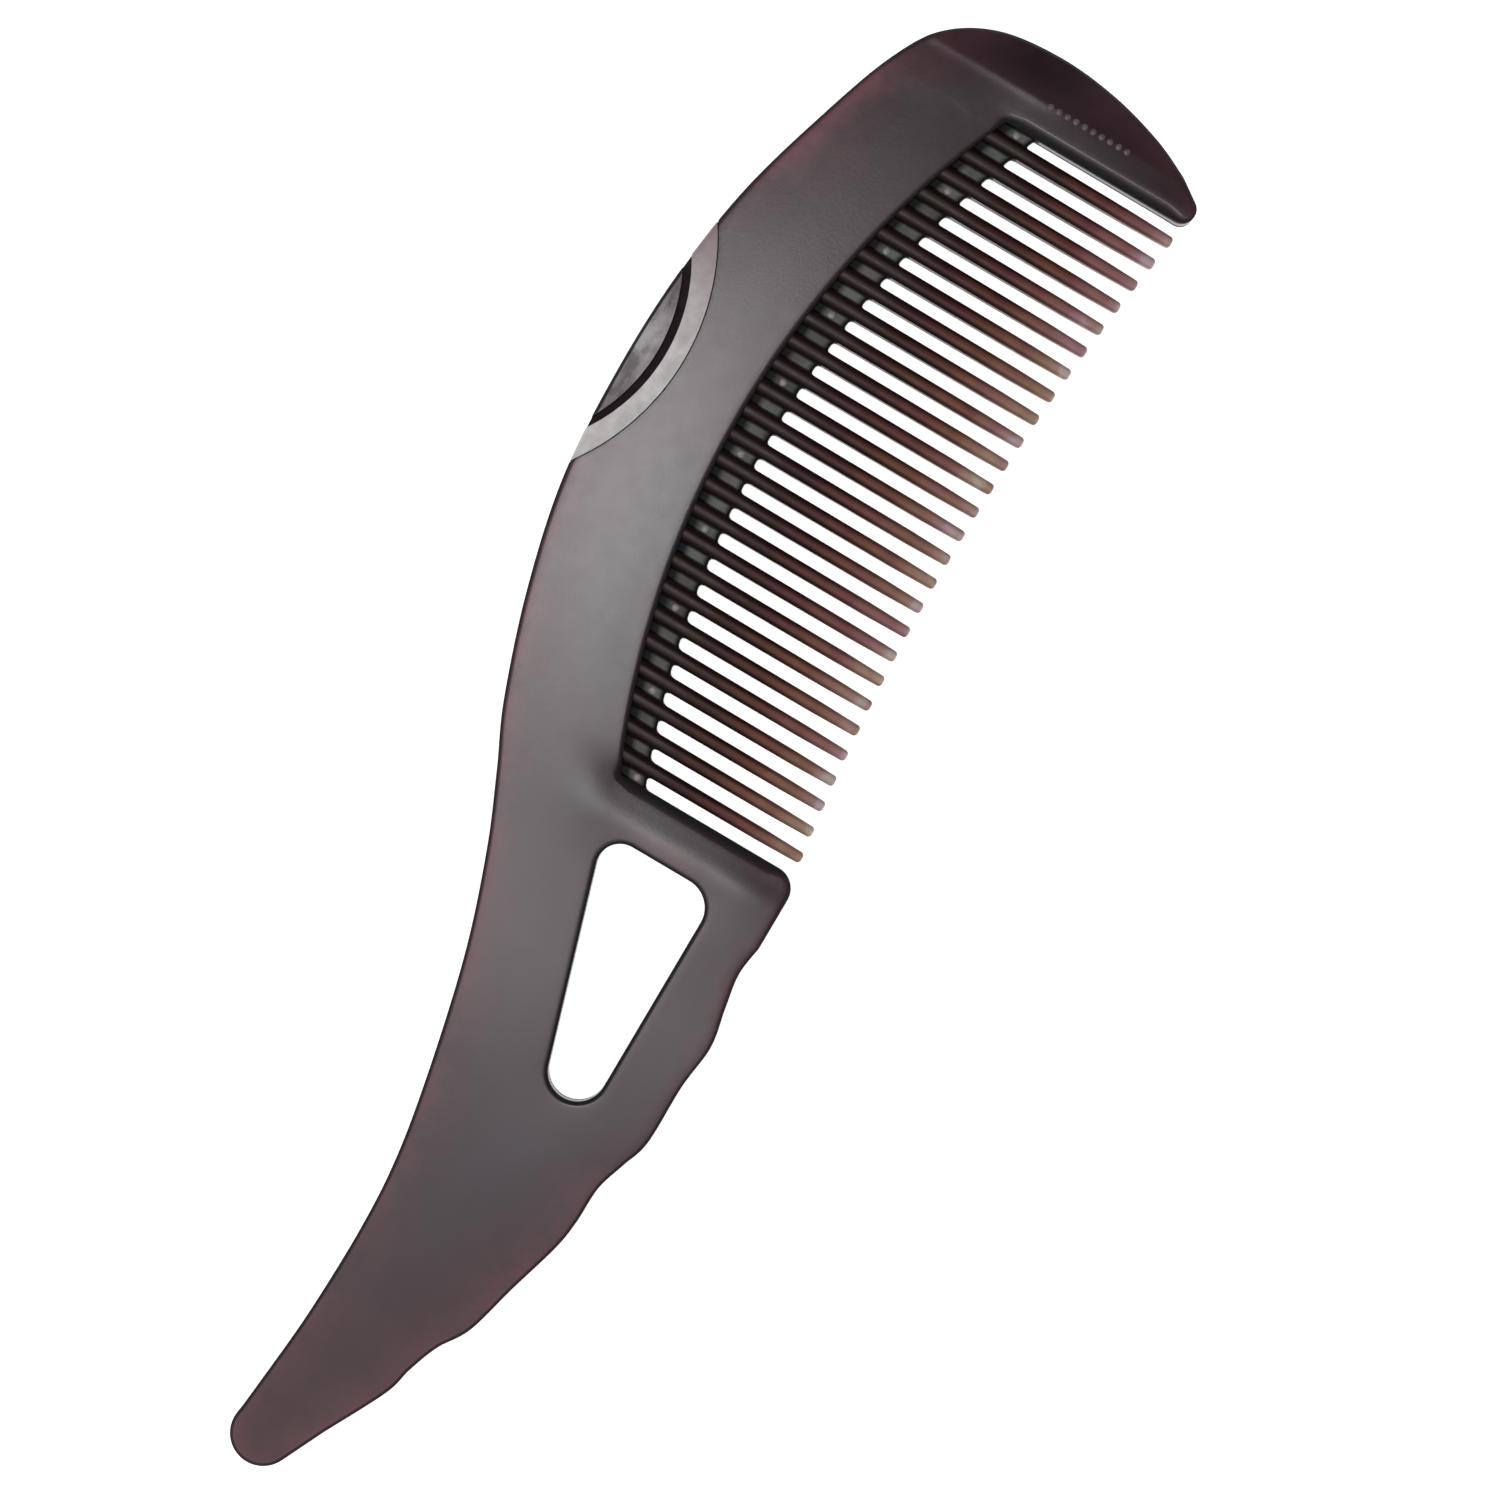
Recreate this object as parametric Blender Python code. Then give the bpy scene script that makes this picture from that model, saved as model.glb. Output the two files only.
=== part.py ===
"""A handled beard comb with 27 separate teeth and a half-moon inlay in each face of its spine.

The comb lies flat. +X runs from the handle's tip to the head, the teeth point to -Y, and +Z is the
thickness, with 0 on the underside. The origin is the middle of the comb's length and width.
"""
import math

import bmesh
import bpy
from mathutils import Vector
from mathutils.geometry import interpolate_bezier

MM = 0.001
COMB_NAME = "beard_comb"
CLEARANCE = 0.3 * MM
WELD_DISTANCE = 0.001 * MM
SHARP_DEGREES = 40

# The body's section.
THICKNESS = 4.6 * MM
MID_PLANE = THICKNESS / 2
EDGE_ROUND = 0.9 * MM
EDGE_ROUND_STEPS = 2

# The tooth row. Its arcs all bulge to +Y.
TOOTH_COUNT = 27
TOOTH_PITCH = 3.41 * MM
ROW_MIDDLE_X = 43.0 * MM
GUARD_HALF_SPAN = 46.75 * MM
BAND_TOP_Y = 10.3 * MM
BAND_ARC_RADIUS = 117.0 * MM
WEB_ARC_X = 42.2 * MM
WEB_EDGE_TOP_Y = 5.8 * MM
WEB_ARC_RADIUS = 123.5 * MM
WEB_THICKNESS = 1.2 * MM
WEB_EDGE_ROUND = 0.2 * MM
WEB_IN_SPINE = 1.6 * MM
WEB_IN_GUARD = 1.2 * MM
TIP_ARC_RADIUS = 296.0 * MM
TIP_ARC_X = 41.0 * MM
TIP_TOP_Y = -21.05 * MM
ROW_ARC_STEPS = 24

# A tooth.
TOOTH_WIDTH_ROOT = 1.92 * MM
TOOTH_WIDTH_SHOULDER = 1.7 * MM
TOOTH_WIDTH_TIP = 1.42 * MM
SHOULDER_FROM_TIP = 6.0 * MM
TOOTH_THICKNESS = 2.6 * MM
TOOTH_TIP_THINNING = 0.5
TOOTH_EDGE_ROUND = 0.4 * MM
TOOTH_TIP_STEP_DEGREES = 45
SOCKET_DEPTH = 3.2 * MM
SOCKET_SIDE_PLAY = 0.2 * MM
SOCKET_PAST_WEB = 2.0 * MM

# The half-moon in the spine's outer edge: discs whose middles lie outside the comb.
MOON_RECESS_MIDDLE = (44.1 * MM, 49.8 * MM)
MOON_RECESS_RADIUS = 30.2 * MM
MOON_GROOVE_MIDDLE = (43.6 * MM, 44.9 * MM)
MOON_GROOVE_RADIUS = 22.9 * MM
MOON_PAD_MIDDLE = (43.45 * MM, 45.5 * MM)
MOON_PAD_RADIUS = 22.4 * MM
MOON_WEB = 1.6 * MM
MOON_PAD_DROP = 0.25 * MM
MOON_DISC_SIDES = 192

# The guards' round ends.
HEEL_CORNER_RADIUS = 2.8 * MM
HEEL_CORNER_Y = -22.3 * MM
HEAD_TIP_MIDDLE = (91.45 * MM, -23.7 * MM)
HEAD_TIP_RADIUS = 1.7 * MM
HEAD_TIP_TURN = (180, 330)

# The handle's tip, a round end with the angles where it starts and ends.
HANDLE_TIP_MIDDLE = (-95.9 * MM, -2.9 * MM)
HANDLE_TIP_RADIUS = 4.1 * MM
HANDLE_TIP_TURN = (75, 243)

# Points that the free curves pass through, in millimetres, spaced closer where the edge waves.
HEAD_AND_BACK = (
    (94.9, -21.7), (97.2, -16.7), (99.2, -9.5), (100.0, -1.5), (99.0, 6.7), (95.5, 12.8),
    (89.7, 16.6), (80, 20.1), (66, 24.0), (52, 25.9), (38, 26.2), (24, 25.2), (10, 22.0),
    (-3, 17.6), (-11, 13.9), (-20, 10.0), (-32, 5.9), (-46, 2.5), (-58, 0.3), (-68, -0.4), (-80, -0.2),
    (-89, 0.5),
)
GRIP = (
    (-92, -9.3), (-84, -13.4), (-80, -14.5), (-76, -16.0), (-72, -18.4), (-65, -20.3), (-58, -22.3),
    (-54, -22.9), (-49, -23.1), (-45, -24.3), (-41, -25.5), (-33, -25.6), (-27, -26.2), (-22, -25.3),
    (-17.5, -24.6), (-13.5, -25.1),
)

# The finger hole's corners, each with the radius that rounds it, in millimetres.
HOLE_CORNERS = ((-62.3, -17.3, 3.7), (-10.7, -1.25, 3.0), (-10.7, -17.3, 3.8))
CURVE_STEPS = 4
ARC_STEP_DEGREES = 18


def arc_points(middle, radius, turn, step=ARC_STEP_DEGREES):
    """Points on a circle from one angle to another, in degrees."""
    start, end = turn
    count = max(2, math.ceil(abs(end - start) / step))
    points = []
    for i in range(count + 1):
        angle = math.radians(start + (end - start) * i / count)
        points.append((middle[0] + radius * math.cos(angle), middle[1] + radius * math.sin(angle)))
    return points


def free_curve(knots):
    """Points in metres on a Catmull-Rom curve through knots in millimetres."""
    knots = [Vector(knot) * MM for knot in knots]
    padded = [knots[0], *knots, knots[-1]]
    points = []
    for before, start, end, after in zip(padded, padded[1:], padded[2:], padded[3:]):
        handles = (start, start + (end - before) / 6, end - (after - start) / 6, end)
        points += interpolate_bezier(*handles, CURVE_STEPS + 1)[:-1]
    return points + [knots[-1]]


def rounded_corners(corners):
    """A closed outline in metres from clockwise corners (x, y, radius) in millimetres."""
    points = []
    for i, (x, y, radius) in enumerate(corners):
        corner = Vector((x, y))
        to_before = (Vector(corners[i - 1][:2]) - corner).normalized()
        to_after = (Vector(corners[(i + 1) % len(corners)][:2]) - corner).normalized()
        opening = to_before.angle(to_after)
        middle = corner + (to_before + to_after).normalized() * radius / math.sin(opening / 2)
        start = math.degrees(math.atan2(-to_before.x, to_before.y))
        points += arc_points(middle * MM, radius * MM, (start, start - 180 + math.degrees(opening)))
    return points


def arc_height(x, middle_x, top_y, radius):
    """The height of an arc that is highest, at top_y, over middle_x."""
    return top_y - radius + math.sqrt(radius**2 - (x - middle_x) ** 2)


def band_y(x):
    return arc_height(x, ROW_MIDDLE_X, BAND_TOP_Y, BAND_ARC_RADIUS)


def web_edge_y(x):
    return arc_height(x, WEB_ARC_X, WEB_EDGE_TOP_Y, WEB_ARC_RADIUS)


def tip_y(x):
    return arc_height(x, TIP_ARC_X, TIP_TOP_Y, TIP_ARC_RADIUS)


def row_arc(height, half_span):
    """Points along an arc of the tooth row, from the handle's side to the head's."""
    points = []
    for i in range(ROW_ARC_STEPS + 1):
        x = ROW_MIDDLE_X - half_span + 2 * half_span * i / ROW_ARC_STEPS
        points.append((x, height(x)))
    return points


def body_outline():
    """The body without its web, anticlockwise from the grip to the handle's tip."""
    heel_x = ROW_MIDDLE_X - GUARD_HALF_SPAN
    heel_corner = (heel_x - HEEL_CORNER_RADIUS, HEEL_CORNER_Y)
    return (
        arc_points(HANDLE_TIP_MIDDLE, HANDLE_TIP_RADIUS, HANDLE_TIP_TURN)
        + free_curve(GRIP)
        + arc_points(heel_corner, HEEL_CORNER_RADIUS, (-90, 0))
        + row_arc(band_y, GUARD_HALF_SPAN)
        + arc_points(HEAD_TIP_MIDDLE, HEAD_TIP_RADIUS, HEAD_TIP_TURN)
        + free_curve(HEAD_AND_BACK)
    )


def web_outline():
    """The thin band between the teeth, with its other edges buried in the spine and the guards."""
    half_span = GUARD_HALF_SPAN + WEB_IN_GUARD
    upper = row_arc(lambda x: band_y(x) + WEB_IN_SPINE, half_span)
    return row_arc(web_edge_y, half_span) + upper[::-1]


def tooth_outline(length):
    """A tooth's plan, with its root at 0 and its round tip at -length."""
    half_root = TOOTH_WIDTH_ROOT / 2
    half_shoulder = TOOTH_WIDTH_SHOULDER / 2
    half_tip = TOOTH_WIDTH_TIP / 2
    shoulder_y = SHOULDER_FROM_TIP - length
    return [
        (half_root, 0),
        (-half_root, 0),
        (-half_shoulder, shoulder_y),
        *arc_points((0, half_tip - length), half_tip, (180, 360), TOOTH_TIP_STEP_DEGREES),
        (half_shoulder, shoulder_y),
    ]


def linked(thing, collection):
    for old in thing.users_collection:
        old.objects.unlink(thing)
    collection.objects.link(thing)
    return thing


def plate(name, outlines, thickness, edge_round, collection, round_steps=EDGE_ROUND_STEPS):
    """A flat plate about Z = 0 from closed outlines, the second of which is a hole, with round edges."""
    curve = bpy.data.curves.new(name, "CURVE")
    curve.dimensions = "2D"
    curve.fill_mode = "BOTH"
    curve.bevel_depth = edge_round
    curve.bevel_resolution = round_steps
    curve.offset = -edge_round
    curve.extrude = thickness / 2 - edge_round
    for outline in outlines:
        spline = curve.splines.new("POLY")
        spline.points.add(len(outline) - 1)
        for point, place in zip(spline.points, outline):
            point.co = (place[0], place[1], 0, 1)
        spline.use_cyclic_u = True
    drawn = bpy.data.objects.new(name, curve)
    collection.objects.link(drawn)
    bpy.context.view_layer.update()
    evaluated = drawn.evaluated_get(bpy.context.evaluated_depsgraph_get())
    mesh = bpy.data.meshes.new_from_object(evaluated)
    bpy.data.objects.remove(drawn)
    bpy.data.curves.remove(curve)
    weld(mesh)
    mesh.name = name
    return linked(bpy.data.objects.new(name, mesh), collection)


def weld(mesh):
    """Join a curve's caps to its sides."""
    shape = bmesh.new()
    shape.from_mesh(mesh)
    bmesh.ops.remove_doubles(shape, verts=shape.verts, dist=WELD_DISTANCE)
    bmesh.ops.recalc_face_normals(shape, faces=shape.faces)
    shape.to_mesh(mesh)
    shape.free()


def joined_boxes(name, boxes, collection):
    """One mesh of separate boxes, each given by its low and high corners."""
    shape = bmesh.new()
    for low, high in boxes:
        made = bmesh.ops.create_cube(shape, size=1)
        for vert in made["verts"]:
            for axis in range(3):
                vert.co[axis] = low[axis] if vert.co[axis] < 0 else high[axis]
    mesh = bpy.data.meshes.new(name)
    shape.to_mesh(mesh)
    shape.free()
    return linked(bpy.data.objects.new(name, mesh), collection)


def disc(name, middle, radius, low_z, high_z, collection):
    bpy.ops.mesh.primitive_cylinder_add(
        vertices=MOON_DISC_SIDES,
        radius=radius,
        depth=high_z - low_z,
        location=(middle[0], middle[1], (low_z + high_z) / 2),
    )
    made = bpy.context.object
    made.name = name
    return linked(made, collection)


def as_cutter(thing):
    thing.hide_render = True
    thing.display_type = "WIRE"
    return thing


def cut(thing, cutter, operation="DIFFERENCE"):
    modifier = thing.modifiers.new(f"{operation.lower()}_{cutter.name}", "BOOLEAN")
    modifier.operation = operation
    modifier.solver = "EXACT"
    modifier.object = cutter
    return modifier


def material(name, colour, roughness, metallic=0.0):
    made = bpy.data.materials.new(name)
    made.use_nodes = True
    surface = made.node_tree.nodes["Principled BSDF"]
    surface.inputs["Base Color"].default_value = (*colour, 1)
    surface.inputs["Roughness"].default_value = roughness
    surface.inputs["Metallic"].default_value = metallic
    return made


def finish(thing, colour_of):
    thing.data.materials.clear()
    thing.data.materials.append(colour_of)
    thing.data.shade_smooth()
    thing.data.set_sharp_from_angle(angle=math.radians(SHARP_DEGREES))


def tooth_places():
    """Each tooth's number, middle line and the Y of its root and tip."""
    for i in range(TOOTH_COUNT):
        x = ROW_MIDDLE_X + (i - (TOOTH_COUNT - 1) / 2) * TOOTH_PITCH
        root = band_y(x) + SOCKET_DEPTH - CLEARANCE
        yield i + 1, x, root, tip_y(x)


def make_sockets(cutters):
    """A slot for each tooth through the web, running on into the spine."""
    half_width = TOOTH_WIDTH_ROOT / 2 + SOCKET_SIDE_PLAY
    half_height = TOOTH_THICKNESS / 2 + SOCKET_SIDE_PLAY
    boxes = []
    for _, x, root, _ in tooth_places():
        low = (x - half_width, web_edge_y(x) - SOCKET_PAST_WEB, MID_PLANE - half_height)
        high = (x + half_width, root + CLEARANCE, MID_PLANE + half_height)
        boxes.append((low, high))
    return as_cutter(joined_boxes("tooth_sockets", boxes, cutters))


def make_moon_recess(side, cutters):
    """The recess for one face's inlays: side is 1 for the upper face and -1 for the underside."""
    floor = MID_PLANE + side * MOON_WEB / 2
    beyond = MID_PLANE + side * THICKNESS
    name = "moon_recess_front" if side > 0 else "moon_recess_back"
    low, high = sorted((floor, beyond))
    return as_cutter(disc(name, MOON_RECESS_MIDDLE, MOON_RECESS_RADIUS, low, high, cutters))


def make_body(parts, cutters, colour_of):
    outlines = (body_outline(), rounded_corners(HOLE_CORNERS))
    body = plate("comb_body", outlines, THICKNESS, EDGE_ROUND, parts)
    body.location.z = MID_PLANE
    web = plate("web_blank", (web_outline(),), WEB_THICKNESS, WEB_EDGE_ROUND, cutters, 1)
    web.location.z = MID_PLANE
    cut(body, as_cutter(web), "UNION")
    cut(body, make_sockets(cutters))
    for side in (1, -1):
        cut(body, make_moon_recess(side, cutters))
    finish(body, colour_of)
    return body


def make_tooth(number, x, root, tip, parts, colour_of):
    length = root - tip
    name = f"tooth_{number:02d}"
    tooth = plate(name, (tooth_outline(length),), TOOTH_THICKNESS, TOOTH_EDGE_ROUND, parts, 1)
    for vert in tooth.data.vertices:
        along = -vert.co.y / length
        vert.co.z *= 1 - TOOTH_TIP_THINNING * along**2
    tooth.location = (x, root, MID_PLANE)
    finish(tooth, colour_of)
    return tooth


def make_moon_piece(name, blank, side, middle, radius, reach, parts, colour_of):
    """The part of the comb's outline within a disc, from the recess floor up to the given reach."""
    floor = MID_PLANE + side * (MOON_WEB / 2 + CLEARANCE)
    low, high = sorted((floor, MID_PLANE + side * reach))
    piece = disc(name, middle, radius, low, high, parts)
    cut(piece, blank, "INTERSECT")
    finish(piece, colour_of)
    return piece


def make_moon(side, blank, parts, cutters, rim_colour, pad_colour):
    """One face's rim, cut back to a crescent by the groove's disc, and the pad inside it."""
    face = "front" if side > 0 else "back"
    past_face = THICKNESS
    rim_disc = (MOON_RECESS_MIDDLE, MOON_RECESS_RADIUS - CLEARANCE, past_face)
    rim = make_moon_piece(f"moon_rim_{face}", blank, side, *rim_disc, parts, rim_colour)
    low, high = sorted((MID_PLANE, MID_PLANE + side * past_face))
    groove = disc(f"moon_groove_{face}", MOON_GROOVE_MIDDLE, MOON_GROOVE_RADIUS, low, high, cutters)
    cut(rim, as_cutter(groove))
    pad_disc = (MOON_PAD_MIDDLE, MOON_PAD_RADIUS, THICKNESS / 2 - MOON_PAD_DROP)
    make_moon_piece(f"moon_pad_{face}", blank, side, *pad_disc, parts, pad_colour)


def main():
    for thing in list(bpy.data.objects):
        bpy.data.objects.remove(thing)
    parts = bpy.data.collections.new(COMB_NAME)
    cutters = bpy.data.collections.new("cutters")
    bpy.context.scene.collection.children.link(parts)
    bpy.context.scene.collection.children.link(cutters)

    body_brown = material("body_brown", (0.09, 0.07, 0.072), 0.38)
    tooth_brown = material("tooth_brown", (0.12, 0.045, 0.035), 0.3)
    rim_satin = material("rim_satin", (0.5, 0.46, 0.46), 0.35)
    pad_grey = material("pad_grey", (0.16, 0.14, 0.15), 0.4)

    make_body(parts, cutters, body_brown)
    for number, x, root, tip in tooth_places():
        make_tooth(number, x, root, tip, parts, tooth_brown)
    blank = plate("moon_blank", (body_outline(),), THICKNESS, EDGE_ROUND, cutters)
    blank.location.z = MID_PLANE
    as_cutter(blank)
    for side in (1, -1):
        make_moon(side, blank, parts, cutters, rim_satin, pad_grey)


main()
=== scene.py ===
"""The looks of a handled beard comb: a satin brown body, 27 see-through teeth and a half-moon inlay.

Everything is in metres in the CAD model's frame: +X runs from the handle's tip to the head, the teeth
point to -Y, and the comb lies on Z = 0.
"""
import math

import bmesh
import bpy
import numpy as np
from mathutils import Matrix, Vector
from mathutils.geometry import delaunay_2d_cdt, interpolate_bezier


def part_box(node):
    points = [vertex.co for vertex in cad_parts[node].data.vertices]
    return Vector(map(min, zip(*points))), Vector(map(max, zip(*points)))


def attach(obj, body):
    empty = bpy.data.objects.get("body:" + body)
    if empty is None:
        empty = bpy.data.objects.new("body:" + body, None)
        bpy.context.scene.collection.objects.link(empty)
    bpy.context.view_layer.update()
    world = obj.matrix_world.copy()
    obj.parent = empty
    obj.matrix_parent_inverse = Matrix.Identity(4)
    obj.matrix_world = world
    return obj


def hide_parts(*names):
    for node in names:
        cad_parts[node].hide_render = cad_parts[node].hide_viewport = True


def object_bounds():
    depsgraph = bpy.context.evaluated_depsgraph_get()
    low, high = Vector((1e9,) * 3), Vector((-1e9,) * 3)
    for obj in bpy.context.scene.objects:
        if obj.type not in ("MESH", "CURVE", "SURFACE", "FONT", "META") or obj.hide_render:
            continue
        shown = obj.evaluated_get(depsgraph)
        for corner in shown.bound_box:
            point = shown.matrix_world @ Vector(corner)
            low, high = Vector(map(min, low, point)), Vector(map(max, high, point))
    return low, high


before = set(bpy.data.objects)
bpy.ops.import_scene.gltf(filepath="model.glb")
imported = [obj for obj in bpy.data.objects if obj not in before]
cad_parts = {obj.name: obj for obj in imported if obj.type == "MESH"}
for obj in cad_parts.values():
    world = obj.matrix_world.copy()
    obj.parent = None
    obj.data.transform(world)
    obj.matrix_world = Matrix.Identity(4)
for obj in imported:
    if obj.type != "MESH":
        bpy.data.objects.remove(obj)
CAD_LOW, CAD_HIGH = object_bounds()

MM = 0.001
TOOTH_NAMES = sorted(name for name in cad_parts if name.startswith("tooth_"))
BODY_LOW, BODY_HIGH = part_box("comb_body")
MID_PLANE = (BODY_LOW.z + BODY_HIGH.z) / 2
HALF_THICKNESS = (BODY_HIGH.z - BODY_LOW.z) / 2

# The tooth row, as in the CAD model.
FIRST_TOOTH_LOW, FIRST_TOOTH_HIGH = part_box(TOOTH_NAMES[0])
LAST_TOOTH_LOW, LAST_TOOTH_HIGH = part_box(TOOTH_NAMES[-1])
FIRST_TOOTH_X = (FIRST_TOOTH_LOW.x + FIRST_TOOTH_HIGH.x) / 2
LAST_TOOTH_X = (LAST_TOOTH_LOW.x + LAST_TOOTH_HIGH.x) / 2
TOOTH_PITCH = (LAST_TOOTH_X - FIRST_TOOTH_X) / (len(TOOTH_NAMES) - 1)
TOOTH_HALF_WIDTH = (FIRST_TOOTH_HIGH.x - FIRST_TOOTH_LOW.x) / 2
TOOTH_HALF_THICKNESS = (FIRST_TOOTH_HIGH.z - FIRST_TOOTH_LOW.z) / 2
ROW_MIDDLE_X = (FIRST_TOOTH_X + LAST_TOOTH_X) / 2
GUARD_HALF_SPAN = 46.75 * MM
BAND_TOP_Y = 10.3 * MM
BAND_ARC_RADIUS = 117.0 * MM
WEB_ARC_X = 42.2 * MM
WEB_EDGE_TOP_Y = 5.8 * MM
WEB_ARC_RADIUS = 123.5 * MM
WEB_HALF_THICKNESS = 0.6 * MM

# The body's outline, as in the CAD model.
HEEL_CORNER_RADIUS = 2.8 * MM
HEEL_CORNER_Y = -22.3 * MM
HEAD_TIP_MIDDLE = (91.45 * MM, -23.7 * MM)
HEAD_TIP_RADIUS = 1.7 * MM
HEAD_TIP_TURN = (180, 330)
HANDLE_TIP_MIDDLE = (-95.9 * MM, -2.9 * MM)
HANDLE_TIP_RADIUS = 4.1 * MM
HANDLE_TIP_TURN = (75, 243)
HEAD_AND_BACK = (
    (94.9, -21.7), (97.2, -16.7), (99.2, -9.5), (100.0, -1.5), (99.0, 6.7), (95.5, 12.8),
    (89.7, 16.6), (80, 20.1), (66, 24.0), (52, 25.9), (38, 26.2), (24, 25.2), (10, 22.0),
    (-3, 17.6), (-11, 13.9), (-20, 10.0), (-32, 5.9), (-46, 2.5), (-58, 0.3), (-68, -0.4), (-80, -0.2),
    (-89, 0.5),
)
GRIP = (
    (-92, -9.3), (-84, -13.4), (-80, -14.5), (-76, -16.0), (-72, -18.4), (-65, -20.3), (-58, -22.3),
    (-54, -22.9), (-49, -23.1), (-45, -24.3), (-41, -25.5), (-33, -25.6), (-27, -26.2), (-22, -25.3),
    (-17.5, -24.6), (-13.5, -25.1),
)
HOLE_CORNERS = ((-62.3, -17.3, 3.7), (-10.7, -1.25, 3.0), (-10.7, -17.3, 3.8))
CURVE_STEPS = 24
BAND_STEPS = 240
ARC_STEP_DEGREES = 4
BAND_CORNER_RADIUS = 0.25 * MM

# The body's surface: how wide the softened edge is, and how steeply it falls at the outline.
OUTLINE_SPACING = 0.36 * MM
OUTER_EDGE_WIDTH = 0.45 * MM
HOLE_EDGE_WIDTH = 0.45 * MM
BAND_EDGE_WIDTH = 0.4 * MM
GUARD_EDGE_WIDTH = 1.2 * MM
EDGE_SLOPE = math.tan(math.radians(40))
EDGE_POWER = 1.4
EDGE_RINGS = 6
FLAT_RINGS = (0.18 * MM, 0.45 * MM)
RING_CLEARANCE = 0.3 * MM
WIDTH_SMOOTHING = 5
CROWN = 0.2 * MM
CROWN_REACH = 7.5 * MM
CROWN_SMOOTHING = 60
FACE_SPACING = 0.95 * MM
GUARD_SPACING = 0.42 * MM
BLUSH_REACH = 3.0 * MM
# Painted shade: how it deepens through the softened edge, and how much the waist ring gets.
EDGE_SHADE_POWER = 0.8
WAIST_PAINTED_SHADE = 0.08
WAIST_BLUSH = 0.35
LINE_TOLERANCE = 0.05 * MM

# Creases and ridges of the guards.
HEAD_CREASE_X = 94.2 * MM
HEAD_CREASE_SLOPE = 0.11
HEAD_RIDGE_HEIGHT = 0.05 * MM
HEAD_RIDGE_HALF_WIDTH = 0.8 * MM
HEEL_RIDGE_X = -8.5 * MM
HEEL_RIDGE_SOFTNESS = 0.5 * MM
HEEL_SLOPE = 0.125
HEAD_ZONE_X = 88 * MM
HEEL_ZONE_LOW_X = -10.5 * MM
HEEL_ZONE_HIGH_X = -3 * MM
HEEL_ZONE_TOP_Y = 3 * MM

# The half-moon, as in the CAD model.
MOON_RECESS_MIDDLE = (44.1 * MM, 49.8 * MM)
MOON_RECESS_RADIUS = 30.2 * MM
MOON_GROOVE_MIDDLE = (43.6 * MM, 44.9 * MM)
MOON_GROOVE_RADIUS = 22.9 * MM
MOON_PAD_MIDDLE = (43.45 * MM, 45.5 * MM)
MOON_PAD_RADIUS = 22.4 * MM
MOON_HALF_WEB = 0.8 * MM
MOON_LINE = 0.14 * MM
MOON_PAD_DROP = 0.25 * MM
MOON_DISC_SIDES = 720
MOON_EDGE_ROUND = 0.1 * MM


# ---------------------------------------------------------------- plan shapes

def arc_points(middle, radius, turn, step=ARC_STEP_DEGREES):
    start, end = turn
    count = max(2, math.ceil(abs(end - start) / step))
    points = []
    for i in range(count + 1):
        angle = math.radians(start + (end - start) * i / count)
        points.append((middle[0] + radius * math.cos(angle), middle[1] + radius * math.sin(angle)))
    return points


def free_curve(knots):
    knots = [Vector(knot) * MM for knot in knots]
    padded = [knots[0], *knots, knots[-1]]
    points = []
    for before, start, end, after in zip(padded, padded[1:], padded[2:], padded[3:]):
        handles = (start, start + (end - before) / 6, end - (after - start) / 6, end)
        points += interpolate_bezier(*handles, CURVE_STEPS + 1)[:-1]
    return [tuple(point[:2]) for point in points + [knots[-1]]]


def rounded_corners(corners):
    points = []
    for i, (x, y, radius) in enumerate(corners):
        corner = Vector((x, y))
        to_before = (Vector(corners[i - 1][:2]) - corner).normalized()
        to_after = (Vector(corners[(i + 1) % len(corners)][:2]) - corner).normalized()
        opening = to_before.angle(to_after)
        middle = corner + (to_before + to_after).normalized() * radius / math.sin(opening / 2)
        start = math.degrees(math.atan2(-to_before.x, to_before.y))
        points += arc_points(middle * MM, radius * MM, (start, start - 180 + math.degrees(opening)))
    return points


def arc_height(x, middle_x, top_y, radius):
    return top_y - radius + np.sqrt(radius**2 - (x - middle_x) ** 2)


def band_y(x):
    return arc_height(x, ROW_MIDDLE_X, BAND_TOP_Y, BAND_ARC_RADIUS)


def web_edge_y(x):
    return arc_height(x, WEB_ARC_X, WEB_EDGE_TOP_Y, WEB_ARC_RADIUS)


def band_and_corners():
    """The spine's edge over the teeth, with a small fillet to each guard, from handle to head."""
    reach = BAND_CORNER_RADIUS
    lean = math.asin(GUARD_HALF_SPAN / BAND_ARC_RADIUS)
    lean_degrees = math.degrees(lean)
    from_guard = reach * (1 - math.sin(lean))
    start_x = ROW_MIDDLE_X - GUARD_HALF_SPAN + from_guard
    end_x = ROW_MIDDLE_X + GUARD_HALF_SPAN - from_guard
    sideways = reach * math.sin(lean)
    fillet_y = band_y(start_x) - reach * math.cos(lean)
    left = arc_points((start_x + sideways, fillet_y), reach, (180, 90 + lean_degrees), 15)
    right = arc_points((end_x - sideways, fillet_y), reach, (90 - lean_degrees, 0), 15)
    middle = [(x, band_y(x)) for x in np.linspace(start_x, end_x, BAND_STEPS)]
    return left + middle[1:-1] + right


def body_outline():
    """Anticlockwise, without the pocket floors between the teeth."""
    heel_x = ROW_MIDDLE_X - GUARD_HALF_SPAN
    heel_corner = (heel_x - HEEL_CORNER_RADIUS, HEEL_CORNER_Y)
    return (
        arc_points(HANDLE_TIP_MIDDLE, HANDLE_TIP_RADIUS, HANDLE_TIP_TURN)
        + free_curve(GRIP)
        + arc_points(heel_corner, HEEL_CORNER_RADIUS, (-90, 0))
        + band_and_corners()
        + arc_points(HEAD_TIP_MIDDLE, HEAD_TIP_RADIUS, HEAD_TIP_TURN)
        + free_curve(HEAD_AND_BACK)
    )


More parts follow.
